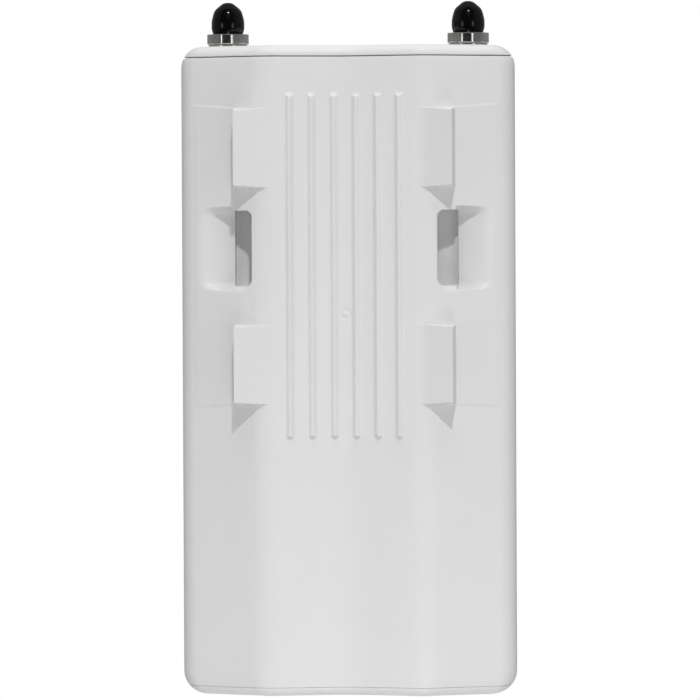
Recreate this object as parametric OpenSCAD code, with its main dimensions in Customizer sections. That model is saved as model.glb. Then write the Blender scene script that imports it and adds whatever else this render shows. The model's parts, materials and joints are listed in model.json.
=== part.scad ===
// Outdoor wireless bridge: a pole-mounted radio unit with two antenna jacks.
// The back faces -Y, the front faces +Y, and the antenna jacks point to +Z.
// Origin: halfway up the strap slots, on the line where the two cradle planes meet.

/* [Body] */
// Width of the housing across its flat sides
body_w = 80; // [79:0.5:82]
// Height of the top cap's upper face over the strap slots' centre
top_z = 48.3; // [48.2:0.1:49.5]
// Depth of the bottom cover's lower face under the strap slots' centre
bottom_z = 106.7; // [106.5:0.1:108]
// Distance from the cradle line to the middle of the crowned front
front_y = 22.5; // [22.3:0.1:24]
// Radius of the crowned front
front_round = 150; // [140:5:170]
// Wall thickness of the housing
wall = 2.0; // [1.8:0.1:2.1]
// Rounding of the two upper corners, seen from behind
top_round = 5.0; // [4.5:0.1:5.5]
// Rounding of the two lower corners, seen from behind
bottom_round = 5.4; // [5:0.1:7]
// Height of the top cap's visible band
top_band = 2.5; // [2.5:0.05:2.6]
// Height of the bottom cover's visible band
bottom_band = 1.95; // [1.8:0.05:2.1]

/* [Back] */
// Distance from the centre line to each back ridge
ridge_x = 18.8; // [18.6:0.1:19]
// Slope of the cradle planes between the ridges, in degrees
cradle_angle = 15; // [14.5:0.25:15.5]
// Slope of the flanks outside the ridges, in degrees
flank_angle = 25; // [24.5:0.25:25.5]
// Distance from the centre line to the pads' outer edges
pad_x = 26.1; // [25.8:0.1:26.4]
// Slope of the pads, in degrees
pad_angle = 25; // [24.5:0.1:25.5]
// Height of one pad
pad_h = 18.9; // [16:0.1:20]
// Centre heights of the upper and lower pads
pad_centres = [23.85, -27.7]; // [-30:0.05:30]
// Number of raised ribs
rib_count = 6; // [4:2:6]
// Distance between two ribs
rib_pitch = 5.2; // [5:0.1:5.2]
// Width of a rib at its foot
rib_w = 2.3; // [2.1:0.1:2.4]
// Height of a rib
rib_h = 1.1; // [0.8:0.1:1.4]
// Upper and lower ends of the ribs
rib_ends = [-44.9, 36.4]; // [-46:0.1:38]

/* [Strap slots] */
// Clear height of a strap slot
slot_h = 17.6; // [16:0.1:18]
// Distances from the centre line to a slot's inner and outer edges
slot_x = [22.1, 26.8]; // [21.9:0.1:27]
// Depth of the strap tunnel's floor from the cradle line
tunnel_y = 6.6; // [6.4:0.1:6.7]
// Thickness of the web that the strap passes behind
web = 2.2; // [2:0.1:2.3]
// Distance from the centre line to the outer end of a pocket
pocket_x = 33.8; // [33.5:0.1:34]
// Upper and lower edges of a pocket
pocket_ends = [-10, 9.75]; // [-10.2:0.05:10.2]
// Slope of a pocket's ramp, in degrees
ramp_angle = 14.5; // [14:0.25:15]

/* [Antenna jacks] */
// Distance from the centre line to each jack
jack_x = 28.9; // [28.7:0.1:29]
// Distance from the cradle line to the jacks
jack_y = 10.5; // [10.4:0.1:10.6]
// Radius of the jack's 1/4-36 thread
thread_r = 3.175; // [3.17:0.005:3.18]
// Height of the jack's rim over the top cap
jack_rise = 7.4; // [7.2:0.1:7.5]
// Thickness of the lock washer
washer_h = 0.65; // [0.6:0.05:0.7]
// Thickness of the jack nut
nut_h = 2.4; // [2.3:0.05:2.5]
// Width of the jack nut across its flats
nut_flats = 9.85; // [9.7:0.05:10]
// Height of the dust cap
dust_h = 7.65; // [7.6:0.05:8]
// Largest radius of the dust cap
dust_r = 3.95; // [3.9:0.01:4.0]

/* [Electronics] */
// Front face of the circuit board
board_y = 13.3; // [13.2:0.1:13.4]
// Thickness of the circuit board
board_t = 1.6; // [1.5:0.1:1.6]
// Upper and lower edges of the circuit board
board_ends = [-66, 24]; // [-66:1:24]
// Half width of the circuit board
board_x = 32; // [31:0.5:32]
// Number of status lights
led_count = 6; // [4:1:6]
// Distance between two status lights
led_pitch = 5; // [4.5:0.1:5]
// Height of the row of status lights
led_z = -34; // [-35:0.5:-33]
// Radius of a light guide
guide_r = 1.0; // [0.8:0.1:1.2]

/* [Cable compartment] */
// Lower face of the port bulkhead
bulkhead_z = -72; // [-72:0.1:-71.8]
// Thickness of the port bulkhead
bulkhead_t = 2.5; // [2.4:0.1:2.5]
// Radius of the Ethernet cable that the grommet holds
cable_r = 3.0; // [2.6:0.1:3.2]
// Height of the bottom cover's collar
collar_h = 11; // [8:0.5:14]
// Radius of the reset button's shaft
button_r = 1.6; // [1.4:0.1:1.7]

/* [Hidden] */

fine = 64;               // sides that a round piece is drawn with
tiny = 0.01;             // how far a cut runs past the face that it opens
deep = 40;               // a cut of this length passes any wall
half_w = body_w / 2;
seam_gap = 0.06;         // open seam over the sliding bottom cover
washer_r = 4.6;
nut_corner = 0.15;        // how far the nuts' turned corners stand out past their flats
seam_top = top_z - top_band;
seam_low = bottom_band - bottom_z;
crown_angle = 12.3;      // slope of the front where the crown runs into its shoulder
ridge_y = -ridge_x * tan(cradle_angle);
flank_y = ridge_y + (half_w - ridge_x) * tan(flank_angle);
crown_y = front_y + front_round * (1 / cos(crown_angle) - 1);
shoulder_y = crown_y - half_w * tan(crown_angle);

valley_r = 20;           // hollow rounding between the cradle planes
ridge_r = 10;            // rounding of the back ridges
flank_r = 6;             // rounding from flank to side
shoulder_r = 8;          // rounding from side to front
end_round = 2.5;         // rounding of the end pieces, seen from the side

// Corners of the housing's cross-section, anticlockwise, each with its rounding
CORNERS = [[0, 0, valley_r], [ridge_x, ridge_y, ridge_r], [half_w, flank_y, flank_r],
    [half_w, shoulder_y, shoulder_r], [0, crown_y, front_round], [-half_w, shoulder_y, shoulder_r],
    [-half_w, flank_y, flank_r], [-ridge_x, ridge_y, ridge_r]];

plate_t = 2.4;           // thickness of the top cap's plate
fit_gap = 0.15;          // gap between the housing's inner wall and a fixed insert
slide_gap = 0.3;         // gap between the housing's inner wall and the sliding cover
collar_t = 1.6;          // wall of an insert's collar
cap_collar_h = 5;        // how far the top cap reaches into the housing
seal_depth = 1.0;        // depth of a gasket, measured from the housing's inner wall
cap_seal = [42.0, 43.2];
bulkhead_top = bulkhead_z + bulkhead_t;
bulkhead_seal = [bulkhead_z + 0.7, bulkhead_z + 1.7];

tray_y = [9.0, 10.2];
tray_x = 37.2;
tray_top = 33;
rail_h = 1.0;            // height of the rails that the tray slides between
standoff_r = 2.6;
screw_r = 1.25;
screw_head_r = 2.2;
screw_head_h = 1.4;
BOARD_HOLES = [for (x = [-28.5, 28.5], z = [-46, 18]) [x, z]];
anchor_x = 24;           // bulkhead screws
anchor_y = 6.5;

port_x = 8;              // half width of the Ethernet jack
port_y = [5.8, 19.0];
port_ends = [bulkhead_z - 3, -54];
plug_x = 5.95;           // half width of the plug's cavity
plug_y = [8.0, 14.8];
plug_top = -61.5;
latch_x = 3.1;
latch_y = 17.4;
contact_pitch = 1.02;

reset_x = 17;
reset_y = 15.3;
switch_ends = [-64, -60.4];
plunger_r = 0.9;
plunger_low = -65.8;
button_low = -73.6;
run_gap = 0.05;          // radial clearance of a moving shaft

can_x = 17;
can_ends = [-12, 16];
can_h = 3.2;
can_t = 0.3;
socket_x = 23.5;
socket_z = 14;
coax_r = 0.68;
cable_y = board_y + 1.3; // depth at which a coax jumper leaves its socket
jack_low = 36;           // lower end of a jack's tail
insulator_r = 2.3;
contact_r = 0.64;
seal_y_r = 0.5;          // thickness radius of a jack's seal ring
seal_ring_r = 3.85;
grommet_y = 10;
grommet_neck = 5.5;
grommet_flange = 7.0;
cover_plate = 0.9;       // plate left between the grommet's two flanges

// ---- Outlines ----

function unit(v) = v / norm(v);
function flat(p) = [p[0], p[1]];
function inward(a, b) = let (d = unit(b - a)) [-d[1], d[0]];
function turned(v, a) = [v[0] * cos(a) - v[1] * sin(a), v[0] * sin(a) + v[1] * cos(a)];

// Points of the arc that rounds corner q, between neighbours p and s
function arc(p, q, s, r) = r <= 0 ? [q] :
    let (u = unit(p - q), v = unit(s - q), half = acos(u * v) / 2,
        centre = q + unit(u + v) * r / sin(half),
        start = q + u * r / tan(half) - centre,
        sweep = sign(cross(q - p, s - q)) * (180 - 2 * half),
        count = max(ceil(abs(sweep) / 9), ceil(r * abs(sweep) / 300)))
    [for (k = [0:count]) centre + turned(start, sweep * k / count)];

// A closed outline with every corner [x, y, radius] rounded
function rounded(c) = let (n = len(c))
    [for (i = [0:n - 1]) each arc(flat(c[(i + n - 1) % n]), flat(c[i]), flat(c[(i + 1) % n]), c[i][2])];

// The same corners, moved inward by t from every side
function shrunk(c, t) = let (n = len(c)) [for (i = [0:n - 1])
    let (p = flat(c[(i + n - 1) % n]), q = flat(c[i]), s = flat(c[(i + 1) % n]),
        a = inward(p, q), b = inward(q, s), moved = q + t * (a + b) / (1 + a * b))
    [moved[0], moved[1], c[i][2] - t * sign(cross(q - p, s - q))]];

function box_corners(low, high, r) =
    [[low[0], low[1], r], [high[0], low[1], r], [high[0], high[1], r], [low[0], high[1], r]];

// Depth of the back's cradle planes at distance x from the centre line
function cradle_y(x) = -abs(x) * tan(cradle_angle);
// Depth of the crowned front at distance x
function crown_at(x) = front_y - front_round + sqrt(front_round * front_round - x * x);

module section(inset) polygon(rounded(shrunk(CORNERS, inset)));
module slab(low, high, inset) translate([0, 0, low]) linear_extrude(high - low) section(inset);
module ring(low, high, outer, inner) difference() {
    slab(low, high, outer);
    slab(low - tiny, high + tiny, inner);
}
module from_behind(depth) rotate([90, 0, 0]) linear_extrude(depth, center = true) children();
module from_side(width) rotate([90, 0, 90]) linear_extrude(width, center = true) children();
module block(low, high) translate(low) cube(high - low);
module along_y(low, high, r) translate([0, low, 0]) rotate([-90, 0, 0])
    cylinder(h = high - low, r = r, $fn = fine);
module both_sides() for (side = [0, 1]) mirror([side, 0, 0]) children();

// The outer form of the housing and its two end pieces, between two heights
module envelope(low, high) intersection() {
    slab(low, high, 0);
    from_behind(3 * deep) polygon(rounded([[-half_w, -bottom_z, bottom_round],
        [half_w, -bottom_z, bottom_round], [half_w, top_z, top_round], [-half_w, top_z, top_round]]));
    from_side(3 * body_w) polygon(rounded(box_corners([ridge_y, -bottom_z], [front_y, top_z], end_round)));
}

// ---- Housing ----

module pad(centre) translate([0, 0, centre - pad_h / 2]) linear_extrude(pad_h)
    let (inner_x = ridge_x - 2.4, outer_y = ridge_y - (pad_x - ridge_x) * tan(pad_angle))
    polygon([[inner_x, cradle_y(inner_x)], [ridge_x, ridge_y], [pad_x, outer_y], [pad_x, 0.5], [inner_x, -2]]);

module rib(x) translate([x, cradle_y(x), rib_ends[0]]) linear_extrude(rib_ends[1] - rib_ends[0])
    polygon(rounded([[-rib_w / 2, 1, 0], [-rib_w / 2, 0, 0], [-0.3, -rib_h, 0.3], [0.3, -rib_h, 0.3],
        [rib_w / 2, 0, 0], [rib_w / 2, 1, 0]]));

// A pocket whose ramp leads a strap down to the slot, and the slot itself
module strap_pocket() {
    intersection() {
        from_behind(3 * deep) polygon(rounded(box_corners([slot_x[0], pocket_ends[0]],
            [pocket_x, pocket_ends[1]], 2)));
        linear_extrude(deep, center = true)
            let (top = flank_y - (half_w - pocket_x) * tan(flank_angle) + 0.1,
                low = top + (pocket_x - slot_x[0]) * tan(ramp_angle))
            polygon([[slot_x[0], -deep], [pocket_x, -deep], [pocket_x, top], [slot_x[0], low]]);
    }
}

// Room for the two slots and everything between them, down to the strap tunnel's floor
module strap_passage(reach) block([-reach, -deep, -slot_h / 2], [reach, tunnel_y, slot_h / 2]);

// Solid stock that stays around the tunnel and the pockets inside the housing
module tunnel_stock() linear_extrude(2 * (slot_h / 2 + 3), center = true)
    let (floor_y = tunnel_y + 2, x = slot_x[1] + 2)
    polygon([[-half_w, -deep], [half_w, -deep], [half_w, 4.4], [x, floor_y], [-x, floor_y], [-half_w, 4.4]]);

module housing_shell() difference() {
    envelope(seam_low + seam_gap, seam_top);
    difference() {
        slab(-2 * bottom_z, 2 * top_z, wall);
        tunnel_stock();
    }
}

module tray_rails() both_sides() for (y = [tray_y[0] - rail_h, tray_y[1]])
    block([tray_x - 1.4, y, -66], [half_w - wall / 2, y + rail_h, tray_top]);

module ribs() for (i = [0:rib_count - 1]) rib((i - (rib_count - 1) / 2) * rib_pitch);

module main_housing() color("white") difference() {
    union() {
        housing_shell();
        tray_rails();
        both_sides() for (centre = pad_centres) pad(centre);
        ribs();
    }
    both_sides() strap_pocket();
    strap_passage(slot_x[1]);
    for (i = [0:led_count - 1]) translate([(i - (led_count - 1) / 2) * led_pitch, 0, led_z])
        along_y(front_y - 2 * wall - 2, front_y + 1, guide_r + run_gap);
}

// The bridge of the back wall that the strap passes behind, from one slot to the other
module strap_web() color("white") intersection() {
    union() {
        ring(-slot_h, slot_h, 0, web);
        ribs();
    }
    strap_passage(slot_x[0]);
}

module top_cap() color("white") difference() {
    union() {
        envelope(seam_top, top_z);
        slab(seam_top - cap_collar_h, seam_top + tiny, wall + fit_gap);
    }
    slab(seam_top - deep, top_z - plate_t, wall + fit_gap + collar_t);
    ring(cap_seal[0], cap_seal[1], wall, wall + seal_depth);
    both_sides() translate([jack_x, jack_y, 0]) cylinder(h = top_z + deep, r = thread_r + 0.12, $fn = fine);
}

module top_gasket() color("dimgray") ring(cap_seal[0], cap_seal[1], wall, wall + seal_depth);

// ---- Board and tray ----

module board_tray() color("lightgray") difference() {
    union() {
        block([-tray_x, tray_y[0], bulkhead_top], [tray_x, tray_y[1], tray_top]);
        for (p = BOARD_HOLES) translate([p[0], 0, p[1]])
            along_y(tray_y[0], board_y - board_t, standoff_r);
        both_sides() block([anchor_x - 4, anchor_y - 3.5, bulkhead_top], [anchor_x + 4, tray_y[1], -60]);
    }
    block([-port_x - 0.5, -deep, -deep * 2], [port_x + 0.5, deep, port_ends[1] + 1]);
    block([-20, -deep, -48], [20, deep, -22]);
    block([-20, -deep, 14], [20, deep, 30]);
    both_sides() block([31, -deep, -30], [34, deep, 10]);
    for (p = BOARD_HOLES) translate([p[0], 0, p[1]]) along_y(-deep, deep, screw_r);
    both_sides() translate([anchor_x, anchor_y, bulkhead_top - tiny]) cylinder(h = 8, r = screw_r, $fn = fine);
}

module main_board() color("darkgreen") difference() {
    block([-board_x, board_y - board_t, board_ends[0]], [board_x, board_y, board_ends[1]]);
    block([-port_x - 0.3, -deep, -deep * 2], [port_x + 0.3, deep, port_ends[1] + 0.3]);
    for (p = BOARD_HOLES) translate([p[0], 0, p[1]]) along_y(-deep, deep, screw_r + 0.1);
}

// A pan-head screw along +Z, head below, with a cross recess
module screw(length) difference() {
    union() {
        cylinder(h = length, r = screw_r, $fn = fine);
        translate([0, 0, -screw_head_h]) cylinder(h = screw_head_h, r = screw_head_r, $fn = fine);
    }
    for (turn = [0, 90]) rotate(turn) translate([-1.3, -0.25, -screw_head_h - tiny]) cube([2.6, 0.5, 0.8]);
}

module board_screws() color("silver") for (p = BOARD_HOLES)
    translate([p[0], board_y, p[1]]) rotate([90, 0, 0]) screw(3.6);

module chip(x, z, w, h, t) block([x - w / 2, board_y, z - h / 2], [x + w / 2, board_y + t, z + h / 2]);

module rf_shield_can() color("silver") difference() {
    block([-can_x, board_y, can_ends[0]], [can_x, board_y + can_h, can_ends[1]]);
    block([can_t - can_x, board_y - tiny, can_ends[0] + can_t],
        [can_x - can_t, board_y + can_h - can_t, can_ends[1] - can_t]);
}

module processor_chip() color("black") chip(-6, 2, 14, 14, 1.2);
module memory_chips() color("black") for (z = [-5, 9]) chip(8, z, 10, 8, 1.0);
module rf_amplifiers() color("black") for (x = [-21.5, 21.5]) chip(x, 4, 5, 5, 0.9);
module thermal_pad() color("lightblue") translate([-6, 0, 2])
    block([-6, board_y + 1.2, -6], [6, board_y + can_h - can_t, 6]);

module heat_spreader() color("lightgray") {
    base_y = board_y + can_h;
    block([-15, base_y, -10], [15, base_y + 0.9, 14]);
    for (i = [0:7]) translate([i * 4, 0, 0]) block([-14.4, base_y, -10], [-13.6, base_y + 2.4, 14]);
}

module ethernet_transformer() color("black") chip(0, -46, 16, 11, 4.2);

module power_capacitors() color("silver") for (p = [[-14, -60.5], [-21.5, -60.5], [-21.5, -53]])
    translate([p[0], 0, p[1]]) {
        along_y(board_y + 0.6, board_y + 4.6, 2.9);
        block([-3.1, board_y, -3.1], [3.1, board_y + 0.7, 3.1]);
    }

module power_inductor() color("dimgray") translate([-19, 0, -42]) {
    block([-3.5, board_y, -3.5], [3.5, board_y + 2.4, 3.5]);
    along_y(board_y, board_y + 3.0, 3.1);
}

function led_x(i) = (i - (led_count - 1) / 2) * led_pitch;
module status_leds() color("khaki") for (i = [0:led_count - 1]) chip(led_x(i), led_z, 1.6, 0.9, 0.7);

// Six clear pins on one bar behind the front wall
module light_guides() color("azure") {
    bar_y = crown_at(led_x(0)) - wall - 1.3;
    block([led_x(0) - 1.5, bar_y, led_z - 1.2], [led_x(led_count - 1) + 1.5, bar_y + 1, led_z + 1.2]);
    for (i = [0:led_count - 1]) translate([led_x(i), 0, led_z])
        along_y(board_y + 0.8, crown_at(led_x(i)) - 0.1, guide_r);
}

// ---- Ethernet port and reset button ----

module ethernet_jack() color("black") difference() {
    block([-port_x, port_y[0], port_ends[0]], [port_x, port_y[1], port_ends[1]]);
    block([-plug_x, plug_y[0], port_ends[0] - tiny], [plug_x, plug_y[1], plug_top]);
    block([-latch_x, plug_y[1] - tiny, port_ends[0] - tiny], [latch_x, latch_y, plug_top]);
}

// Eight sprung contacts that rise from the cavity's floor
module ethernet_contacts() color("gold") for (i = [0:7])
    translate([(i - 3.5) * contact_pitch, 0, 0]) from_side(0.4)
        polygon([[plug_y[0], port_ends[0] + 2.5], [plug_y[0], port_ends[0] + 3],
            [plug_y[0] + 1.4, plug_top], [plug_y[0] + 1.4, plug_top - 0.6]]);

module reset_switch() color("dimgray") difference() {
    block([reset_x - 3.1, board_y, switch_ends[0]], [reset_x + 3.1, board_y + 4, switch_ends[1]]);
    translate([reset_x, reset_y, switch_ends[0] - tiny]) cylinder(h = 2.8, r = plunger_r + run_gap, $fn = fine);
}

module switch_plunger() color("white") translate([reset_x, reset_y, plunger_low])
    cylinder(h = 3.8, r = plunger_r, $fn = fine);

module reset_button() color("gray") translate([reset_x, reset_y, 0]) {
    translate([0, 0, button_low]) cylinder(h = plunger_low - button_low, r = button_r, $fn = fine);
    translate([0, 0, bulkhead_top + 0.1]) cylinder(h = 0.8, r = button_r + 0.8, $fn = fine);
}

// ---- Antenna jacks ----

module at_jack(side) translate([side * jack_x, jack_y, 0]) children();
module at_jacks() for (side = [-1, 1]) at_jack(side) children();

module rf_jack(side) color("silver") at_jack(side) difference() {
    union() {
        translate([0, 0, jack_low + 3]) cylinder(h = top_z + jack_rise - jack_low - 3, r = thread_r, $fn = fine);
        translate([0, 0, jack_low]) cylinder(h = 3 + tiny, r = 2.2, $fn = fine);
        translate([0, 0, top_z - plate_t - 1 - 2]) cylinder(h = 2, r = 8 / sqrt(3), $fn = 6);
    }
    translate([0, 0, jack_low + 5]) cylinder(h = deep, r = insulator_r, $fn = fine);
    translate([0, 0, jack_low - tiny]) cylinder(h = 6, r = coax_r, $fn = fine);
}
module rf_jack_left() rf_jack(-1);
module rf_jack_right() rf_jack(1);

module rf_insulators() color("white") at_jacks() difference() {
    translate([0, 0, jack_low + 5]) cylinder(h = top_z + jack_rise - 1.9 - jack_low - 5, r = insulator_r, $fn = fine);
    translate([0, 0, jack_low]) cylinder(h = deep, r = contact_r, $fn = fine);
}

module rf_contacts() color("gold") at_jacks() difference() {
    translate([0, 0, jack_low + 5]) cylinder(h = top_z + jack_rise - 1.9 - jack_low - 5, r = contact_r, $fn = fine);
    translate([0, 0, top_z + jack_rise - 5]) cylinder(h = deep, r = 0.47, $fn = fine);
}

module jack_seals() color("black") at_jacks() translate([0, 0, top_z - plate_t - seal_y_r])
    rotate_extrude($fn = fine) translate([seal_ring_r, 0]) circle(seal_y_r, $fn = 32);

module lock_washers() color("silver") at_jacks() translate([0, 0, top_z]) difference() {
    cylinder(h = washer_h, r = washer_r, $fn = fine);
    translate([0, 0, -tiny]) cylinder(h = deep, r = thread_r + 0.1, $fn = fine);
}

// Hexagonal nuts with a corner straight behind, all six corners turned down
module jack_nuts() color("silver") at_jacks() translate([0, 0, top_z + washer_h]) difference() {
    intersection() {
        rotate(30) cylinder(h = nut_h, r = nut_flats / sqrt(3), $fn = 6);
        cylinder(h = nut_h, r = nut_flats / 2 + nut_corner, $fn = fine);
    }
    translate([0, 0, -tiny]) cylinder(h = deep, r = thread_r + 0.03, $fn = fine);
}

// A push-on cap of soft black plastic, closed at the top
module dust_cap(side) color("black") at_jack(side) translate([0, 0, top_z + washer_h + nut_h]) difference() {
    rotate_extrude($fn = fine) polygon(rounded([[0, 0, 0], [dust_r - 0.4, 0, 0.15], [dust_r, 1.3, 3],
        [dust_r, 3.25, 6], [dust_r - 0.69, 5.81, 2], [0.8, dust_h, 1], [0, dust_h, 0]]));
    translate([0, 0, -tiny]) cylinder(h = jack_rise - washer_h - nut_h + 0.2, r = thread_r + run_gap, $fn = fine);
}
module dust_cap_left() dust_cap(-1);
module dust_cap_right() dust_cap(1);

// ---- Coax jumpers ----

module board_coax_sockets() color("gold") for (x = [-socket_x, socket_x]) translate([x, 0, socket_z]) {
    block([-1.3, board_y, -1.3], [1.3, board_y + 0.35, 1.3]);
    along_y(board_y, board_y + 1.0, 1.0);
}

function curve(a, b, c, d, t) = a * pow(1 - t, 3) + 3 * b * t * pow(1 - t, 2) + 3 * c * t * t * (1 - t)
    + d * pow(t, 3);
JUMPER_LOW = [socket_x, cable_y, socket_z + 8];
JUMPER_HIGH = [jack_x, jack_y, jack_low + 1];
function jumper_point(t) = curve(JUMPER_LOW, JUMPER_LOW + [0, 0, 6], JUMPER_HIGH - [0, 0, 6], JUMPER_HIGH, t);

// Route of a jumper: straight up from its plug, an S-bend, and straight up into the jack
JUMPER = concat([[socket_x, cable_y, socket_z + 1.2]], [for (k = [0:14]) jumper_point(k / 14)],
    [[jack_x, jack_y, jack_low + 4.9]]);

// A round tube along a route that climbs everywhere
module tube(route, r, sides) {
    last = len(route) - 1;
    rings = [for (i = [0:last])
        let (ahead = unit(route[min(i + 1, last)] - route[max(i - 1, 0)]),
            across = unit(cross(ahead, [0, 1, 0])), up = cross(across, ahead))
        for (k = [0:sides - 1]) route[i] + r * (across * cos(360 * k / sides) + up * sin(360 * k / sides))];
    sides_faces = [for (i = [0:last - 1], k = [0:sides - 1])
        [i * sides + k, i * sides + (k + 1) % sides, (i + 1) * sides + (k + 1) % sides, (i + 1) * sides + k]];
    polyhedron(rings, concat([[for (k = [0:sides - 1]) sides - 1 - k]], sides_faces,
        [[for (k = [0:sides - 1]) last * sides + k]]));
}

module coax_jumper() {
    color("saddlebrown") tube(JUMPER, coax_r - 0.03, 12);
    color("gold") translate([socket_x, 0, socket_z]) difference() {
        along_y(board_y + 0.5, board_y + 2.1, 1.5);
        along_y(board_y, board_y + 1.0, 1.02);
    }
}
module coax_jumper_left() mirror([1, 0, 0]) coax_jumper();
module coax_jumper_right() coax_jumper();

// ---- Bulkhead and bottom cover ----

module port_bulkhead() color("white") difference() {
    slab(bulkhead_z, bulkhead_top, wall + fit_gap);
    ring(bulkhead_seal[0], bulkhead_seal[1], wall, wall + seal_depth);
    block([-port_x - 0.1, port_y[0] - 0.1, -2 * deep], [port_x + 0.1, port_y[1] + 0.1, 0]);
    both_sides() translate([anchor_x, anchor_y, -2 * deep]) cylinder(h = deep, r = screw_r + 0.1, $fn = fine);
    translate([reset_x, reset_y, -2 * deep]) cylinder(h = deep, r = button_r + run_gap, $fn = fine);
}

module bulkhead_gasket() color("dimgray") ring(bulkhead_seal[0], bulkhead_seal[1], wall, wall + seal_depth);

module bulkhead_screws() color("silver") both_sides() translate([anchor_x, anchor_y, bulkhead_z]) screw(9);

module bottom_cover() color("white") difference() {
    union() {
        envelope(-bottom_z, seam_low);
        slab(seam_low - tiny, seam_low + collar_h, wall + slide_gap);
    }
    slab(seam_low, 0, wall + slide_gap + collar_t);
    translate([0, grommet_y, -2 * bottom_z]) cylinder(h = 2 * bottom_z, r = grommet_neck, $fn = fine);
    translate([0, grommet_y, -2 * bottom_z]) cylinder(h = bottom_z + bottom_band - cover_plate,
        r = grommet_flange + 0.1, $fn = fine);
}

// A rubber ring that grips the cable and clips into the cover's plate
module cable_grommet() color("dimgray") translate([0, grommet_y, 0]) {
    low = 0.1 - bottom_z;
    groove = seam_low - cover_plate;
    rotate_extrude($fn = fine) polygon([[cable_r, low], [grommet_flange, low], [grommet_flange, groove],
        [grommet_neck, groove], [grommet_neck, seam_low], [grommet_flange, seam_low],
        [grommet_flange - 0.6, seam_low + 1.5], [cable_r, seam_low + 1.5]]);
}

main_housing();
strap_web();
top_cap();
top_gasket();
board_tray();
main_board();
board_screws();
rf_shield_can();
processor_chip();
memory_chips();
rf_amplifiers();
thermal_pad();
heat_spreader();
ethernet_transformer();
power_capacitors();
power_inductor();
status_leds();
light_guides();
ethernet_jack();
ethernet_contacts();
reset_switch();
switch_plunger();
reset_button();
rf_jack_left();
rf_jack_right();
rf_insulators();
rf_contacts();
jack_seals();
lock_washers();
jack_nuts();
board_coax_sockets();
coax_jumper_left();
coax_jumper_right();
port_bulkhead();
bulkhead_gasket();
bulkhead_screws();
bottom_cover();
cable_grommet();
dust_cap_left();
dust_cap_right();
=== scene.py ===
"""Looks of an outdoor wireless bridge, seen from behind: a white moulded housing with a pole cradle, ribs,
wedge pads and strap slots, an end cap with two antenna jacks under black dust caps, and a cover below.

Shapes are worked out in millimetres in the frame's axes: +Z up, +Y out of the front, +X to the right seen
from behind. Every mesh is scaled to metres when it is made."""
import json
import math

import bmesh
import bpy
import numpy as np
from mathutils import Matrix, Vector


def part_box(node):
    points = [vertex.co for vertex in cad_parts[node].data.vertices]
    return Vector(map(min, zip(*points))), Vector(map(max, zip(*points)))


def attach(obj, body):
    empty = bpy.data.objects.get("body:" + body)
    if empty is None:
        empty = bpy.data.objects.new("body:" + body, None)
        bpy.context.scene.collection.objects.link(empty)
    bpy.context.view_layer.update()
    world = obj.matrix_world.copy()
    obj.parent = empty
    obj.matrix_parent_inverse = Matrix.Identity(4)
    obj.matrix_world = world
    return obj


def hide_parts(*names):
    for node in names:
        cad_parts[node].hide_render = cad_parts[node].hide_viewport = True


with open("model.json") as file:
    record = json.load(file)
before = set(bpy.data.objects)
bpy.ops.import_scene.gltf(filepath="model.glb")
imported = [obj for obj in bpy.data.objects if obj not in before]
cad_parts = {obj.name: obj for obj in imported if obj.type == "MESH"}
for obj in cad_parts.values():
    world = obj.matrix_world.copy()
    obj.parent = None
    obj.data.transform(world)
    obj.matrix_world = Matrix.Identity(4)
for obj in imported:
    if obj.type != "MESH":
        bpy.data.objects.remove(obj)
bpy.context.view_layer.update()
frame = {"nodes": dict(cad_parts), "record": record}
MM = 0.001


def box_mm(node):
    """A CAD node's lowest and highest corners, in millimetres."""
    low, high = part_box(node)
    return low / MM, high / MM


# ---- Sizes, from the frame where it has them ----

HOUSING_LOW, HOUSING_HIGH = box_mm("main_housing")
CAP_TOP = box_mm("top_cap")[1].z
COVER_LOW = box_mm("bottom_cover")[0].z
HALF_W = HOUSING_HIGH.x
FRONT_Y = HOUSING_HIGH.y
SEAM_TOP = HOUSING_HIGH.z
SEAM_LOW = HOUSING_LOW.z
WALL = 2.0
TOP_ROUND = 5.0          # rounding of the upper corners, seen from behind
LOW_ROUND = 5.4
END_ROUND = 2.0          # rounding of the end pieces, seen from the side

RIDGE_X = 18.8
RIDGE_ROUND = 10
CRADLE_ANGLE = math.radians(15)
CRADLE = math.tan(CRADLE_ANGLE)
FLANK = math.tan(math.radians(25))
CROWN_ANGLE = math.radians(12.3)
FRONT_ROUND = 150
RIDGE_Y = -RIDGE_X * CRADLE
FLANK_Y = RIDGE_Y + (HALF_W - RIDGE_X) * FLANK
CROWN_Y = FRONT_Y + FRONT_ROUND * (1 / math.cos(CROWN_ANGLE) - 1)
SHOULDER_Y = CROWN_Y - HALF_W * math.tan(CROWN_ANGLE)
CORNERS = [(0, 0, 20), (RIDGE_X, RIDGE_Y, RIDGE_ROUND), (HALF_W, FLANK_Y, 6), (HALF_W, SHOULDER_Y, 8),
           (0, CROWN_Y, FRONT_ROUND), (-HALF_W, SHOULDER_Y, 8), (-HALF_W, FLANK_Y, 6),
           (-RIDGE_X, RIDGE_Y, RIDGE_ROUND)]

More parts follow.
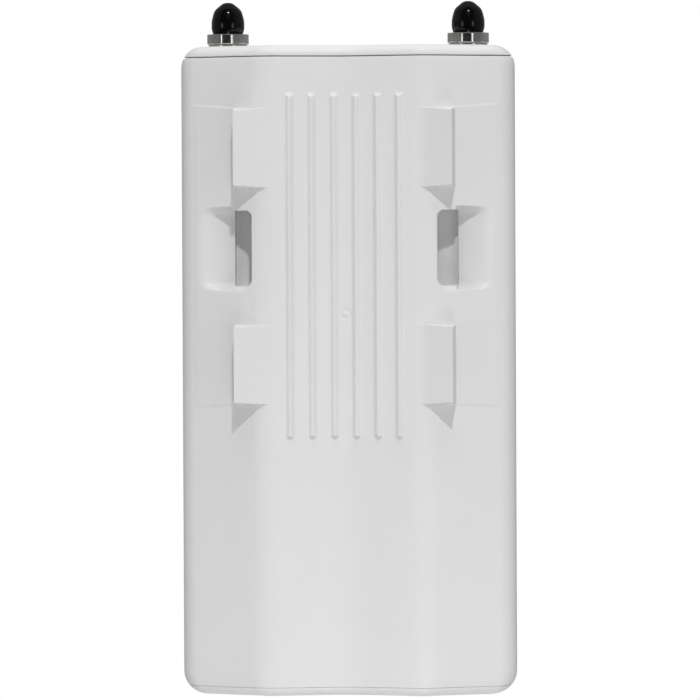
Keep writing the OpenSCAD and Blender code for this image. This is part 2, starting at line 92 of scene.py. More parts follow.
PAD_X = 26.1
PAD_Y = -RIDGE_Y - 0.5     # height of the wedge pads' planes over the cradle line, at the ridges
PAD_SLOPE = math.tan(math.radians(28))
PADS = [(14.4, 33.3), (-37.15, -18.25)]
RIB_XS = [(i - 2.5) * 5.2 for i in range(6)]
RIB_W, RIB_H, RIB_CREST = 1.9, 0.95, 0.3    # the crest's sharpness last
RIB_LOW, RIB_TOP = -44.9, 36.6
SLOT_IN, SLOT_OUT, SLOT_HALF = 22.1, 26.8, 8.9
TUNNEL_Y = 6.6
WEB = 2.2
POCKET_X = 33.8
POCKET_LOW, POCKET_TOP = -10.0, 9.75
POCKET_FILLET = 2.4
RAMP = math.tan(math.radians(14.5))
SEAM_GAP = 0.22          # open seam under the top cap
LOW_GAP = 0.06           # the cover closes almost flush
EDGE, LOW_EDGE = 0.25, 0.08   # rounding of the edges beside the two seams
GATE_Z = -15.7           # the moulding gate's mark on the centre line
SPLIT_TOP, SPLIT_LOW = 33.6, -37.4     # the mould's split lines at the pads' outer edges
LIGHT_PITCH = 5
WINDOW_R = 1.05          # holes for the light guides
COLLAR_T = 1.6
CAP_PLATE = 2.4          # thickness of the top cap's end
COVER_PLATE = 0.9        # plate left between the grommet's two flanges
GROMMET_NECK, GROMMET_SEAT, CABLE_R = 5.5, 7.1, 3.0
JACK_X, JACK_Y = 28.9, 10.5
THREAD_R, THREAD_PITCH, THREAD_DEPTH = 3.175, 25.4 / 36, 0.38
NUT_FLATS, NUT_CORNER = 9.85, 0.15
WASHER_R = 4.6
SKY_LEVEL = 0.36         # brightness of the sky as light; it shows as 1 behind the object
# Brightness that gloss reflects, by degrees from the camera's side
STUDIO = [(0, 0.01), (48, 0.02), (60, 0.2), (100, 0.25), (180, 0.3)]
BACK_X = 36.0            # the back's relief ends here, where the flank starts to round


# ---- Outlines and meshes ----

def rounded(corners, step=6.0):
    """A closed outline with every corner (x, y, radius) rounded, as an array of points."""
    points = []
    n = len(corners)
    for i, (x, y, r) in enumerate(corners):
        q = np.array([x, y], float)
        p, s = (np.array(corners[j % n][:2], float) for j in (i - 1, i + 1))
        if r <= 0:
            points.append(q)
            continue
        u, v = (p - q) / np.linalg.norm(p - q), (s - q) / np.linalg.norm(s - q)
        half = math.acos(float(u @ v)) / 2
        centre = q + (u + v) / np.linalg.norm(u + v) * r / math.sin(half)
        start = q + u * r / math.tan(half) - centre
        side = math.copysign(1, (q - p)[0] * (s - q)[1] - (q - p)[1] * (s - q)[0])
        sweep = side * (math.pi - 2 * half)
        count = max(2, math.ceil(math.degrees(abs(sweep)) / step), math.ceil(r * abs(sweep) / 4))
        for k in range(count + 1):
            a = sweep * k / count
            points.append(centre + [start[0] * math.cos(a) - start[1] * math.sin(a),
                                    start[0] * math.sin(a) + start[1] * math.cos(a)])
    return np.array(points)


def shrunk(corners, t):
    """The same corners moved inward by t."""
    moved = []
    n = len(corners)
    for i, (x, y, r) in enumerate(corners):
        q = np.array([x, y], float)
        p, s = (np.array(corners[j % n][:2], float) for j in (i - 1, i + 1))
        d, e = (q - p) / np.linalg.norm(q - p), (s - q) / np.linalg.norm(s - q)
        a, b = np.array([-d[1], d[0]]), np.array([-e[1], e[0]])
        side = math.copysign(1, d[0] * e[1] - d[1] * e[0])
        at = q + t * (a + b) / (1 + a @ b)
        moved.append((at[0], at[1], r - side * t))
    return moved


def mesh_object(name, points, faces, sharp=40):
    """An object from points in millimetres, smooth but for edges sharper than the angle."""
    mesh = bpy.data.meshes.new(name)
    mesh.from_pydata((np.asarray(points, float) * MM).tolist(), [], faces)
    mesh.validate()
    made = bmesh.new()
    made.from_mesh(mesh)
    bmesh.ops.recalc_face_normals(made, faces=made.faces)
    made.to_mesh(mesh)
    made.free()
    smooth(mesh, sharp)
    obj = bpy.data.objects.new(name, mesh)
    bpy.context.scene.collection.objects.link(obj)
    return obj


def smooth(mesh, sharp):
    mesh.polygons.foreach_set("use_smooth", [True] * len(mesh.polygons))
    mesh.set_sharp_from_angle(angle=math.radians(sharp))


def loft_faces(rows, columns, closed_rows=False):
    """Quads between rows of points that each run once round the outline."""
    faces = []
    for j in range(rows if closed_rows else rows - 1):
        a, b = j * columns, (j + 1) % rows * columns
        faces += [(a + i, a + (i + 1) % columns, b + (i + 1) % columns, b + i) for i in range(columns)]
    return faces


def loft(name, rings, sharp=40, closed=False):
    """A skin over rings of the same number of points, capped at both ends or joined end to end."""
    rows, columns = len(rings), len(rings[0])
    faces = loft_faces(rows, columns, closed)
    if not closed:
        faces += [tuple(range(columns))[::-1], tuple((rows - 1) * columns + i for i in range(columns))]
    return mesh_object(name, np.concatenate(rings), faces, sharp)


def prism(name, outline, low, high, sharp=40):
    outline = np.asarray(outline)
    return loft(name, [np.column_stack([outline, np.full(len(outline), z)]) for z in (low, high)], sharp)


def lathe(name, profile, centre, steps=96):
    """A round piece about a line along Z; profile points are (radius, height)."""
    angles = np.arange(steps) * 2 * math.pi / steps
    rings = [np.column_stack([centre[0] + r * np.cos(angles), centre[1] + r * np.sin(angles),
                              np.full(steps, z)]) for r, z in profile]
    return loft(name, rings, closed=True)


def cut_out(target, tool):
    """Cuts tool out of target for good."""
    cut = target.modifiers.new("cut", "BOOLEAN")
    cut.operation, cut.solver, cut.object = "DIFFERENCE", "MANIFOLD", tool
    bpy.context.view_layer.update()
    graph = bpy.context.evaluated_depsgraph_get()
    result = bpy.data.meshes.new_from_object(target.evaluated_get(graph))
    target.modifiers.clear()
    old, target.data = target.data, result
    bpy.data.meshes.remove(old)
    bpy.data.objects.remove(tool)


# ---- The housing's skin ----

def higher(a, b, k):
    """The larger of two heights, blended where they differ by less than k."""
    h = np.clip(0.5 + 0.5 * (a - b) / k, 0, 1)
    return b + (a - b) * h + k * h * (1 - h)


def lower(a, b, k):
    return -higher(-a, -b, k)


def ramp_step(x, width):
    """0 below 0 and 1 above width, with a smooth rise between."""
    t = np.clip(x / width, 0, 1)
    return t * t * (3 - 2 * t)


def frame_distance(x, z, low, high, r):
    """Distance outside a rounded rectangle, negative inside it."""
    dx = np.abs(x - (low[0] + high[0]) / 2) - (high[0] - low[0]) / 2 + r
    dz = np.abs(z - (low[1] + high[1]) / 2) - (high[1] - low[1]) / 2 + r
    return np.hypot(np.maximum(dx, 0), np.maximum(dz, 0)) + np.minimum(np.maximum(dx, dz), 0) - r


def back_relief(x, z, height):
    """Adds everything moulded on the back to its plain height; all in millimetres, outward positive."""
    side = np.abs(x)
    plain = height.copy()
    # the band between the mould's split lines stands a little proud on the flanks
    slant = (side - PAD_X) / 13.5
    upper, under = SPLIT_TOP + 1.1 * slant, SPLIT_LOW - 0.6 * slant
    on_flank = ramp_step(side - 22, 3)
    height = height + 0.14 * on_flank * ramp_step(upper - z, 0.35) * ramp_step(z - under, 0.2)
    # wedge pads
    plane = PAD_Y + (side - RIDGE_X) * PAD_SLOPE
    crown = PAD_Y + (PAD_X - RIDGE_X) * PAD_SLOPE
    for low, high in PADS:
        pad = lower(plane, crown + (PAD_X - side) * 25, 0.35)
        pad = lower(pad, plain + (high - z) * 14, 0.35)
        pad = lower(pad, plain + (z - low) * 14, 0.35)
        height = higher(height, pad, 0.3)
    # ribs
    reach = math.hypot(RIB_W / 2, RIB_CREST)
    for rib_x in RIB_XS:
        roof = RIB_H * (reach - np.hypot(x - rib_x, RIB_CREST)) / (reach - RIB_CREST)
        roof = lower(roof, lower((RIB_TOP - z) * 2, (z - RIB_LOW) * 8, 0.2), 0.3)
        height = height + higher(roof, 0, 0.12)
    # gate mark: a shallow ring with a nib in it
    away = np.hypot(x, z - GATE_Z)
    height = height - 0.22 * np.exp(-((away - 1.0) / 0.32) ** 2) + 0.25 * np.exp(-(away / 0.35) ** 2)
    # slots: round corners beside the web, square ones outside
    slot = frame_distance(side, z, (SLOT_IN + 0.2, -SLOT_HALF), (SLOT_OUT + 4, SLOT_HALF), 1.8)
    # slots' lower rims, rounded off into the web
    if z < 0:
        rim = frame_distance(side, z, (SLOT_IN + 0.6, -SLOT_HALF - 1.15), (POCKET_X, SLOT_HALF), 2.0)
        height = lower(height, plain + rim + 4 * np.maximum(side - SLOT_OUT, 0), 0.4)
    # pockets: a ramp that meets the flank outside, and hollow-rounded walls above and below it
    d = frame_distance(side, z, (SLOT_IN + 0.3, POCKET_LOW), (POCKET_X + 4, POCKET_TOP), POCKET_FILLET)
    ramp = -(FLANK_Y - (HALF_W - POCKET_X) * FLANK + 0.1) - (POCKET_X - side) * RAMP
    inside = np.clip(POCKET_FILLET + d, 0, POCKET_FILLET)
    hollow = POCKET_FILLET - np.sqrt(POCKET_FILLET ** 2 - inside ** 2) + 14 * np.maximum(d, 0)
    hollow = hollow + np.where(slot > 0, 14 * np.maximum(SLOT_OUT - side, 0), 0)
    height = lower(height, ramp + hollow, 0.9)
    d = np.maximum(slot, side - SLOT_OUT + 0.1)
    strip = -TUNNEL_Y + np.maximum(side - (SLOT_OUT - 1.6), 0) * 0.4
    height = lower(height, higher(strip, strip + 60 * d, 0.2), 0.1)
    return height


def graded(low, high, coarse, features, growth=0.3):
    """Line places from low to high, closer near each feature (place, fine step)."""
    places = [low]
    while places[-1] < high:
        at = places[-1]
        step = coarse
        for place, fine in features:
            step = min(step, fine + growth * max(0, abs(at + fine / 2 - place) - fine))
        places.append(at + step)
    places = np.array(places)
    return low + (places - low) * (high - low) / (places[-1] - low)


def outline_columns():
    """Points round the cross-section with their outward normals: first the back in order of X."""
    half = [(RIDGE_X - 2, 0.5), (SLOT_IN, 0.05), (SLOT_OUT, 0.06), (PAD_X, 0.06), (POCKET_X, 0.22)]
    half += [(x, 0.14) for x in RIB_XS if x > 0]
    half += [(x + s * RIB_W / 2, 0.16) for x in RIB_XS if x > 0 for s in (-1, 1)]
    right = graded(0, BACK_X, 1.6, half)
    xs = np.concatenate([-right[:0:-1], right])
    outline = rounded(CORNERS, 3.0)
    beyond = (np.abs(outline[:, 0]) > BACK_X + 0.05) | (outline[:, 1] > FLANK_Y + 3)
    back = outline[~beyond]
    back = back[np.argsort(back[:, 0])]
    flanks = FLANK_Y - (HALF_W - BACK_X) * FLANK
    ys = np.interp(xs, np.concatenate([[-BACK_X], back[:, 0], [BACK_X]]),
                   np.concatenate([[flanks], back[:, 1], [flanks]]))
    points = np.concatenate([np.column_stack([xs, ys]), outline[beyond]])
    ahead = np.roll(points, -1, axis=0) - np.roll(points, 1, axis=0)
    normals = np.column_stack([ahead[:, 1], -ahead[:, 0]])
    normals /= np.linalg.norm(normals, axis=1)[:, None]
    return points, normals, len(xs)


def end_inset(z):
    """How far the outline is drawn in at height z, across and through the unit."""
    across = through = 0.0
    for into, radius in ((z - (CAP_TOP - TOP_ROUND), TOP_ROUND), (COVER_LOW + LOW_ROUND - z, LOW_ROUND)):
        if into > 0:
            across = radius - math.sqrt(max(radius ** 2 - into ** 2, 0))
    for into in (z - (CAP_TOP - END_ROUND), COVER_LOW + END_ROUND - z):
        if into > 0:
            through = END_ROUND - math.sqrt(max(END_ROUND ** 2 - into ** 2, 0))
    return across, through


def edge_inset(away, radius):
    """How far a rounded edge draws the outline in, at a distance from the end."""
    into = max(0, radius - away)
    return radius - math.sqrt(max(radius ** 2 - into ** 2, 0))


def outline_ring(points, normals, z, extra=0.0):
    across, through = end_inset(z)
    drawn = points - normals * [across + extra, through + extra]
    return np.column_stack([drawn, np.full(len(points), z)])


# ---- Materials ----

def node_material(name):
    material = bpy.data.materials.new(name)
    material.use_nodes = True
    nodes = material.node_tree.nodes
    return material, nodes, material.node_tree.links, nodes["Principled BSDF"]


def add(nodes, kind, **values):
    """A shader node with its inputs or properties set by name."""
    made = nodes.new(kind)
    for key, value in values.items():
        if key in made.inputs:
            made.inputs[key].default_value = value
        else:
            setattr(made, key.lower(), value)
    return made


def material(name, colour, roughness, metallic=0.0, varied=0.06, grain=900, bump=0.02, patch=60, **more):
    """A moulded, plated or rubber surface: colour that drifts a little, uneven gloss and a fine grain.
    grain and patch are the sizes' inverses, per metre."""
    made, nodes, links, shader = node_material(name)
    place = add(nodes, "ShaderNodeTexCoord")
    drift = add(nodes, "ShaderNodeTexNoise", Scale=patch, Detail=4.0, Roughness=0.6)
    fine = add(nodes, "ShaderNodeTexNoise", Scale=grain, Detail=3.0, Roughness=0.55)
    for noise in (drift, fine):
        links.new(place.outputs["Object"], noise.inputs["Vector"])
    tint = add(nodes, "ShaderNodeValToRGB")
    dark = [c * (1 - varied) for c in colour]
    light = [min(1, c * (1 + varied)) for c in colour]
    tint.color_ramp.elements[0].position, tint.color_ramp.elements[0].color = 0.3, (*dark, 1)
    tint.color_ramp.elements[1].position, tint.color_ramp.elements[1].color = 0.7, (*light, 1)
    links.new(drift.outputs["Fac"], tint.inputs["Fac"])
    links.new(tint.outputs["Color"], shader.inputs["Base Color"])
    gloss = add(nodes, "ShaderNodeMapRange", **{"From Min": 0.3, "From Max": 0.7,
                "To Min": max(0.02, roughness * 0.88), "To Max": min(1, roughness * 1.12)})
    links.new(fine.outputs["Fac"], gloss.inputs["Value"])
    links.new(gloss.outputs["Result"], shader.inputs["Roughness"])
    relief = add(nodes, "ShaderNodeBump", Strength=1.0, Distance=bump * MM)
    links.new(fine.outputs["Fac"], relief.inputs["Height"])
    links.new(relief.outputs["Normal"], shader.inputs["Normal"])
    shader.inputs["Metallic"].default_value = metallic
    for key, value in more.items():
        shader.inputs[key.replace("_", " ")].default_value = value
    return made


WHITE = material("white_moulded_plastic", (0.80, 0.80, 0.80), 0.42, varied=0.012, grain=2600, bump=0.006,
                 patch=45, Specular_IOR_Level=0.42)
BLACK = material("black_vinyl", (0.0028, 0.0028, 0.003), 0.14, varied=0.2, grain=1500, bump=0.004,
                 patch=300, Specular_IOR_Level=0.28)
NICKEL = material("nickel_plating", (0.62, 0.61, 0.59), 0.2, metallic=1.0, varied=0.05, grain=2500,
                  bump=0.006, patch=400)
GOLD = material("gold_plating", (0.85, 0.63, 0.27), 0.22, metallic=1.0, varied=0.05, grain=2500,
                bump=0.004)
PTFE = material("ptfe", (0.84, 0.84, 0.81), 0.5, varied=0.02, grain=1500, bump=0.01)
TIN = material("tin_plate", (0.66, 0.67, 0.68), 0.32, metallic=1.0, varied=0.06, grain=1400, bump=0.012)
ALUMINIUM = material("aluminium", (0.77, 0.78, 0.79), 0.38, metallic=1.0, varied=0.05, grain=1200,
                     bump=0.02)
EPOXY = material("chip_epoxy", (0.03, 0.03, 0.032), 0.55, varied=0.15, grain=2200, bump=0.02)
GEL = material("gap_pad", (0.35, 0.5, 0.62), 0.7, varied=0.05, grain=900, bump=0.03)
SEAL = material("seal_rubber", (0.045, 0.045, 0.047), 0.6, varied=0.15, grain=1300, bump=0.02)
GROMMET = material("grommet_rubber", (0.06, 0.06, 0.064), 0.68, varied=0.15, grain=1100, bump=0.03)
JACK_PLASTIC = material("jack_plastic", (0.035, 0.035, 0.04), 0.45, varied=0.12, grain=1800, bump=0.015)
TRAY = material("tray_plastic", (0.6, 0.61, 0.62), 0.5, varied=0.03, grain=1500, bump=0.015)
GREY = material("button_plastic", (0.33, 0.34, 0.35), 0.4, varied=0.06, grain=1600, bump=0.012)
CLEAR = material("clear_acrylic", (0.88, 0.91, 0.93), 0.12, varied=0.02, grain=900, bump=0.004,
                 Transmission_Weight=0.55, IOR=1.49)
LED = material("led_lens", (0.85, 0.82, 0.5), 0.25, varied=0.08, grain=1500, bump=0.005)
SHEATH = material("coax_sheath", (0.33, 0.11, 0.035), 0.35, varied=0.1, grain=1800, bump=0.01)
BOARD = material("solder_mask", (0.02, 0.15, 0.06), 0.3, varied=0.3, grain=1500, bump=0.02, patch=900)

CAD_MATERIALS = {
    "circuit_board": BOARD, "tinned_steel": TIN, "aluminium": ALUMINIUM, "chip_black": EPOXY,
    "thermal_gel": GEL, "seal_rubber": SEAL, "grommet_rubber": GROMMET, "jack_plastic": JACK_PLASTIC,
    "tray_plastic": TRAY, "button_grey": GREY, "clear_guide": CLEAR, "led_lens": LED,
    "coax_sheath": SHEATH, "gold": GOLD, "ptfe": PTFE, "nickel": NICKEL, "black_vinyl": BLACK,
    "white_shell": WHITE}


def dress_cad_nodes():
    """Every CAD node gets its slot's material."""
    for part in frame["record"]["subparts"]:
        node = frame["nodes"][part["node"]]
        node.data.materials.clear()
        node.data.materials.append(CAD_MATERIALS[part["material_slot"]])


def finished(obj, body, slot, look, *nodes):
    obj.data.materials.clear()
    obj.data.materials.append(look)
    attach(obj, body)
    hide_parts(*nodes)
    return obj


def housing():
    """The sleeve: its relief outside, the cavity inside, the strap tunnel and the six light windows."""
    points, normals, back_count = outline_columns()
    ends = [(SEAM_LOW, 0.04), (SEAM_TOP, 0.1), (RIB_LOW, 0.12), (RIB_TOP - 0.7, 0.25), (GATE_Z, 0.25)]
    ends += [(z, 0.07) for pad in PADS for z in pad] + [(34.1, 0.2), (-37.7, 0.2)]
    ends += [(POCKET_LOW, 0.15), (POCKET_TOP, 0.15), (-SLOT_HALF, 0.07), (SLOT_HALF, 0.07)]
    top = SEAM_TOP - SEAM_GAP
    zs = graded(SEAM_LOW, top, 2.2, ends)
    rings = []
    for z in zs:
        worn = edge_inset(z - SEAM_LOW, LOW_EDGE) + edge_inset(top - z, EDGE)
        ring = outline_ring(points, normals, z, worn)
        drop = ring[:back_count, 1] - points[:back_count, 1]
        raised = -back_relief(points[:back_count, 0], z, -points[:back_count, 1])
        ring[:back_count, 1] = raised + drop
        rings.append(ring)
    skin = loft("main_housing_shell", rings, 40)
    cavity = prism("cavity", rounded(shrunk(CORNERS, WALL)), COVER_LOW - 5, CAP_TOP + 5)
    floor_y, x = TUNNEL_Y + 2, SLOT_OUT + 2
    stock = prism("stock", [(-45, -20), (45, -20), (45, 2.6), (x, floor_y), (-x, floor_y), (-45, 2.6)],
                  -SLOT_HALF - 3, SLOT_HALF + 3)
    cut_out(cavity, stock)
    cut_out(skin, cavity)
    half = np.linspace(-SLOT_IN - 1.5, SLOT_IN + 1.5, 41)
    outline = rounded(CORNERS, 3.0)
    order = np.argsort(outline[:, 0])
    back = outline[order][outline[order][:, 1] < 3]
    web_y = np.interp(half, back[:, 0], back[:, 1]) + WEB / math.cos(CRADLE_ANGLE)
    under = np.column_stack([half, web_y])
    far_side = [(half[-1], TUNNEL_Y - 0.02), (half[0], TUNNEL_Y - 0.02)]
    tunnel = prism("tunnel", np.concatenate([under, far_side]), -SLOT_HALF + 0.05, SLOT_HALF - 0.05)
    cut_out(skin, tunnel)
    guides = box_mm("light_guides")
    z = (guides[0].z + guides[1].z) / 2
    for i in range(6):
        window_x = LIGHT_PITCH * (i - 2.5)
        hole = prism("hole", [(window_x + WINDOW_R * math.cos(a), z + WINDOW_R * math.sin(a))
                              for a in np.arange(48) * math.pi / 24], -FRONT_Y - 2, -FRONT_Y + 6)
        hole.data.transform(Matrix.Rotation(math.pi / 2, 4, "X"))
        cut_out(skin, hole)
    smooth(skin.data, 40)
    return finished(skin, "housing", "white_shell", WHITE, "main_housing", "strap_web")


# ---- Cap, cover and jacks ----

def end_piece(name, seam, outer, collar_end, collar_inset, plate, edge):
    """A solid end piece: a rounded band outside the seam, and a collar inside the housing with its
    free end at collar_end. plate is the height of the inner face between the collar's walls, and edge
    the rounding beside the seam."""
    points, normals, _ = outline_columns()
    points, normals = points[::2], normals[::2]
    toward = math.copysign(1, outer - seam)
    inner = collar_inset + COLLAR_T
    rows = [(plate, inner), (collar_end, inner), (collar_end, collar_inset), (seam, collar_inset)]
    rings = [np.column_stack([points - normals * inset, np.full(len(points), z)]) for z, inset in rows]
    for a in np.linspace(0, math.pi / 2, 5):
        z = seam + toward * edge * (1 - math.cos(a))
        rings.append(outline_ring(points, normals, z, edge * (1 - math.sin(a))))
    start = seam + toward * edge
    for t in np.sin(np.linspace(0, math.pi / 2, 24))[1:]:
        rings.append(outline_ring(points, normals, start + (outer - start) * t))
    return loft(name, rings, 35)


def circle(radius, count=96):
    return [(radius * math.cos(a), radius * math.sin(a)) for a in np.arange(count) * 2 * math.pi / count]


def bore(target, centre, radius, low, high):
    cut_out(target, prism("bore", np.array(circle(radius)) + np.array(centre), low, high))


def top_cap():
    low, _ = box_mm("top_cap")
    cap = end_piece("top_end_cap", SEAM_TOP, CAP_TOP, low.z, WALL + 0.15, CAP_TOP - CAP_PLATE, EDGE)
    for side in (-1, 1):
        bore(cap, (side * JACK_X, JACK_Y), THREAD_R + 0.12, SEAM_TOP - 5, CAP_TOP + 5)
    smooth(cap.data, 35)
    return finished(cap, "housing", "white_shell", WHITE, "top_cap")


def bottom_cover():
    _, high = box_mm("bottom_cover")
    seam = SEAM_LOW - LOW_GAP
    cover = end_piece("bottom_end_cover", seam, COVER_LOW, high.z, WALL + 0.3, seam, LOW_EDGE)
    centre = (0, (box_mm("cable_grommet")[0].y + box_mm("cable_grommet")[1].y) / 2)
    bore(cover, centre, GROMMET_NECK, COVER_LOW - 5, seam + 5)
    bore(cover, centre, GROMMET_SEAT, COVER_LOW - 5, seam - COVER_PLATE)
    smooth(cover.data, 35)
    return finished(cover, "bottom_cover", "white_shell", WHITE, "bottom_cover")


def cable_grommet():
    low, high = box_mm("cable_grommet")
    centre = ((low.x + high.x) / 2, (low.y + high.y) / 2)
    wide, neck, hole = (high.x - low.x) / 2, GROMMET_NECK, CABLE_R
    seam = SEAM_LOW - LOW_GAP
    profile = rounded([(hole, low.z, 0.3), (wide, low.z, 0.35), (wide, seam - COVER_PLATE, 0.1),
                       (neck, seam - COVER_PLATE, 0.1), (neck, seam, 0.1), (wide, seam, 0.1),
                       (wide - 0.6, high.z, 0.4), (hole, high.z, 0.3)], 15)
    piece = lathe("cable_entry_grommet", profile, centre)
    return finished(piece, "bottom_cover", "grommet_rubber", GROMMET, "cable_grommet")


def threaded_jack(side, word):
    """A bulkhead jack: its tail, its flange under the cap, and the threaded barrel over it."""
    low, high = box_mm(f"rf_jack_{word}")
    steps = 96
    angles = np.arange(steps) * 2 * math.pi / steps
    flange = CAP_TOP - CAP_PLATE - 1
    plain = [(0.69, low.z), (2.1, low.z), (2.2, low.z + 0.1), (2.2, low.z + 3), (THREAD_R, low.z + 3),
             (THREAD_R, flange - 2), (4.45, flange - 2), (4.6, flange - 1.85), (4.6, flange - 0.15),
             (4.45, flange), (THREAD_R, flange), (THREAD_R, CAP_TOP)]
    rows = [(np.full(steps, r), z) for r, z in plain]
    for z in np.arange(CAP_TOP + 0.2, high.z - 0.35, THREAD_PITCH / 10):
        turn = (z / THREAD_PITCH - angles / (2 * math.pi)) % 1
        groove = np.clip(1.15 - np.abs(turn - 0.5) * 3, 0, 1)
        rows.append((THREAD_R - THREAD_DEPTH * groove, z))
    mouth = [(2.85, high.z - 0.05), (2.75, high.z), (2.4, high.z), (2.3, high.z - 0.1),
             (2.3, low.z + 5), (0.69, low.z + 5)]
    rows += [(np.full(steps, r), z) for r, z in mouth]
    rings = [np.column_stack([side * JACK_X + r * np.cos(angles), JACK_Y + r * np.sin(angles),
                              np.full(steps, z)]) for r, z in rows]
    piece = loft(f"antenna_jack_{word}", rings, 40, closed=True)
    return finished(piece, "housing", "nickel", NICKEL, f"rf_jack_{word}")


def hexagon(angles, flats):
    """Radius of a hexagon with a corner straight behind, its corners turned down and worn."""
    off = np.abs(angles % (math.pi / 3) - math.pi / 6)
    flat = flats / 2 / np.cos(math.pi / 6 - off)
    return lower(flat, np.full_like(flat, flats / 2 + NUT_CORNER), 0.14)


def hex_ring(name, centre, low, high, flats, hole):
    """A hexagonal nut with worn upright edges, both ends chamfered by a cone."""
    steps = 240
    angles = np.arange(steps) * 2 * math.pi / steps
    wall = hexagon(angles, flats)
    rows = [(np.full(steps, hole), low), (np.full(steps, hole + 0.15), low)]
    foot, head = np.linspace(low + 0.05, low + 0.35, 6), np.linspace(high - 0.35, high - 0.05, 6)
    for z in [low, *foot, *head, high]:
        cone = flats / 2 - 0.03 + min(z - low, high - z)
        rows.append((np.minimum(wall, cone), z))
    rows += [(np.full(steps, hole + 0.25), high), (np.full(steps, hole), high - 0.25)]
    rings = [np.column_stack([centre[0] + r * np.cos(angles), centre[1] + r * np.sin(angles),
                              np.full(steps, z)]) for r, z in rows]
    return loft(name, rings, 25, closed=True)


def joined(name, objects, sharp):
    """One object from several meshes."""
    made = bmesh.new()
    for obj in objects:
        made.from_mesh(obj.data)
        bpy.data.objects.remove(obj)
    mesh = bpy.data.meshes.new(name)
    made.to_mesh(mesh)
    made.free()
    smooth(mesh, sharp)
    obj = bpy.data.objects.new(name, mesh)
    bpy.context.scene.collection.objects.link(obj)
    return obj


def jack_hardware():
    """Nut and lock washer at the foot of each jack."""
    low, high = box_mm("jack_nuts")
    nuts = [hex_ring("nut", (side * JACK_X, JACK_Y), low.z, high.z, NUT_FLATS, THREAD_R + 0.03)
            for side in (-1, 1)]
    finished(joined("jack_hex_nuts", nuts, 25), "housing", "nickel", NICKEL, "jack_nuts")
    low, high = box_mm("lock_washers")
    profile = rounded([(THREAD_R + 0.1, low.z, 0.05), (WASHER_R, low.z, 0.12), (WASHER_R, high.z, 0.12),
                       (THREAD_R + 0.1, high.z, 0.05)], 30)
    washers = [lathe("washer", profile, (side * JACK_X, JACK_Y)) for side in (-1, 1)]
    finished(joined("jack_lock_washers", washers, 40), "housing", "nickel", NICKEL, "lock_washers")


def dust_cap(side, word):
    """A soft push-on cap shaped like the blunt end of an egg, over a plain bore."""
    low, high = box_mm(f"dust_cap_{word}")
    bottom, top = low.z, high.z
    widest = (high.x - low.x) / 2
    bore_r = THREAD_R + 0.05
    outside = rounded([(bore_r, bottom, 0.03), (widest - 0.4, bottom, 0.15), (widest, bottom + 1.3, 3),
                       (widest, bottom + 3.25, 6), (widest - 0.69, bottom + 5.81, 2.8), (1.0, top, 2.2),
                       (0.1, top, 0)], 4)
    rows = [tuple(p) for p in outside[:-1]]
    rows += [(0.0, top), (0.0, top - 2.4), (bore_r - 0.3, top - 2.4), (bore_r, top - 2.7)]
    piece = lathe(f"antenna_dust_cap_{word}", rows, (side * JACK_X, JACK_Y), 128)
    made = bmesh.new()
    made.from_mesh(piece.data)
    bmesh.ops.remove_doubles(made, verts=made.verts, dist=1e-7)
    made.to_mesh(piece.data)
    made.free()
    smooth(piece.data, 40)
    return finished(piece, f"dust_cap_{word}", "black_vinyl", BLACK, f"dust_cap_{word}")


# ---- Stage ----

def look_at(obj, target):
    obj.rotation_euler = (Vector(target) - obj.location).to_track_quat("-Z", "Y").to_euler()


def camera():
    """The photograph's view: from behind, a little to the right, level with the strap slots."""
    made = bpy.data.objects.new("camera", bpy.data.cameras.new("camera"))
    bpy.context.scene.collection.objects.link(made)
    made.data.lens, made.data.sensor_width = 300, 36
    aim = Vector((0.2, 10, -24.5)) * MM
    azimuth, distance = math.radians(4.5), 1.4
    made.location = aim + distance * Vector((math.sin(azimuth), -math.cos(azimuth), 0))
    made.location += Vector((0, 0, 0.0245))
    look_at(made, aim)
    made.rotation_euler.rotate_axis("Z", math.radians(-0.26))
    made.data.clip_start, made.data.clip_end = 0.01, 20
    bpy.context.scene.camera = made


def area_light(name, location, size, power, aim=(0, 0, -0.02)):
    lamp = bpy.data.objects.new(name, bpy.data.lights.new(name, "AREA"))
    bpy.context.scene.collection.objects.link(lamp)
    lamp.data.shape, lamp.data.size, lamp.data.energy = "SQUARE", size, power
    lamp.location = location
    look_at(lamp, aim)
    return lamp


def chosen(nodes, links, switch, usual, other):
    """The usual number, or the other one where the switch is on."""
    pick = add(nodes, "ShaderNodeMix")
    links.new(switch, pick.inputs["Factor"])
    for value, socket in ((usual, pick.inputs["A"]), (other, pick.inputs["B"])):
        if isinstance(value, float):
            socket.default_value = value
        else:
            links.new(value, socket)
    return pick.outputs["Result"]


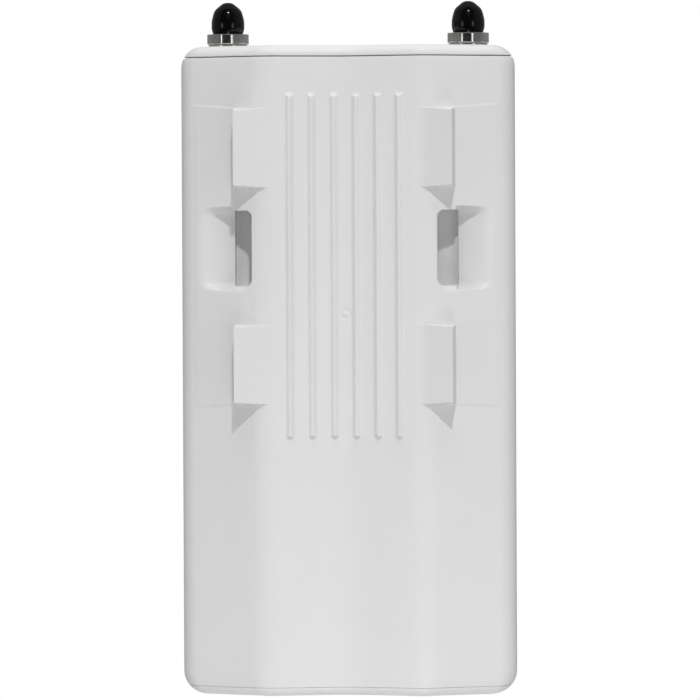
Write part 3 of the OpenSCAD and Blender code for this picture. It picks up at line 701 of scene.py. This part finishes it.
def surroundings():
    """A white sky that lights everything evenly, and shows as plain white behind the object. Gloss
    reflects a studio instead: dark behind the camera, bright walls at the sides, a grey one opposite."""
    world = bpy.data.worlds.new("studio")
    bpy.context.scene.world = world
    world.use_nodes = True
    nodes, links = world.node_tree.nodes, world.node_tree.links
    back = nodes["Background"]
    back.inputs["Color"].default_value = (1, 1, 1, 1)
    place = add(nodes, "ShaderNodeTexCoord")
    split = add(nodes, "ShaderNodeSeparateXYZ")
    aside = add(nodes, "ShaderNodeMath", Operation="ABSOLUTE")
    toward = add(nodes, "ShaderNodeMath", Operation="MULTIPLY")
    round_from_camera = add(nodes, "ShaderNodeMath", Operation="ARCTAN2")
    share = add(nodes, "ShaderNodeMapRange", **{"From Max": math.pi})
    studio = add(nodes, "ShaderNodeValToRGB")
    links.new(place.outputs["Generated"], split.inputs["Vector"])
    links.new(split.outputs["X"], aside.inputs[0])
    links.new(split.outputs["Y"], toward.inputs[0])
    toward.inputs[1].default_value = -1
    links.new(aside.outputs["Value"], round_from_camera.inputs[0])
    links.new(toward.outputs["Value"], round_from_camera.inputs[1])
    links.new(round_from_camera.outputs["Value"], share.inputs["Value"])
    links.new(share.outputs["Result"], studio.inputs["Fac"])
    stops = studio.color_ramp.elements
    stops[1].position = 1.0
    for _ in STUDIO[2:]:
        stops.new(0.5)
    for stop, (degrees, level) in zip(stops, STUDIO):
        stop.position = degrees / 180
        stop.color = (level, level, level, 1)
    path = add(nodes, "ShaderNodeLightPath")
    light = chosen(nodes, links, path.outputs["Is Glossy Ray"], SKY_LEVEL, studio.outputs["Color"])
    links.new(chosen(nodes, links, path.outputs["Is Camera Ray"], light, 1.0), back.inputs["Strength"])


def floor():
    """A plain pale disc below the unit."""
    z = COVER_LOW - 160
    slab = prism("floor", circle(330, 128), z - 4, z)
    paint, nodes, links, shader = node_material("floor_paint")
    noise = add(nodes, "ShaderNodeTexNoise", Scale=8.0)
    tint = add(nodes, "ShaderNodeMapRange", **{"To Min": 0.82, "To Max": 0.86})
    links.new(noise.outputs["Fac"], tint.inputs["Value"])
    links.new(tint.outputs["Result"], shader.inputs["Base Color"])
    shader.inputs["Roughness"].default_value = 0.7
    slab.data.materials.append(paint)


camera()
surroundings()
area_light("key", (0.17, -1.18, 1.2), 0.07, 9.9)
area_light("overhead", (0, -0.15, 1), 0.6, 3.8).visible_glossy = False
area_light("low_fill", (0.05, -0.24, -0.2), 0.12, 0.115, (0, 0, -0.12))
area_light("right_fill", (0.9, -0.8, -0.1), 0.5, 0.6).visible_glossy = False
area_light("left_fill", (-0.9, -0.5, -0.4), 0.4, 0.25, (0, 0, -0.1)).visible_glossy = False
for side in (-1, 1):
    area_light("strip", (side * 0.75, -0.95, 0.05), 0.26, 0.5)
floor()
bpy.context.scene.view_settings.view_transform = "Standard"

dress_cad_nodes()
housing()
top_cap()
bottom_cover()
cable_grommet()
jack_hardware()
for side, word in ((-1, "left"), (1, "right")):
    threaded_jack(side, word)
    dust_cap(side, word)
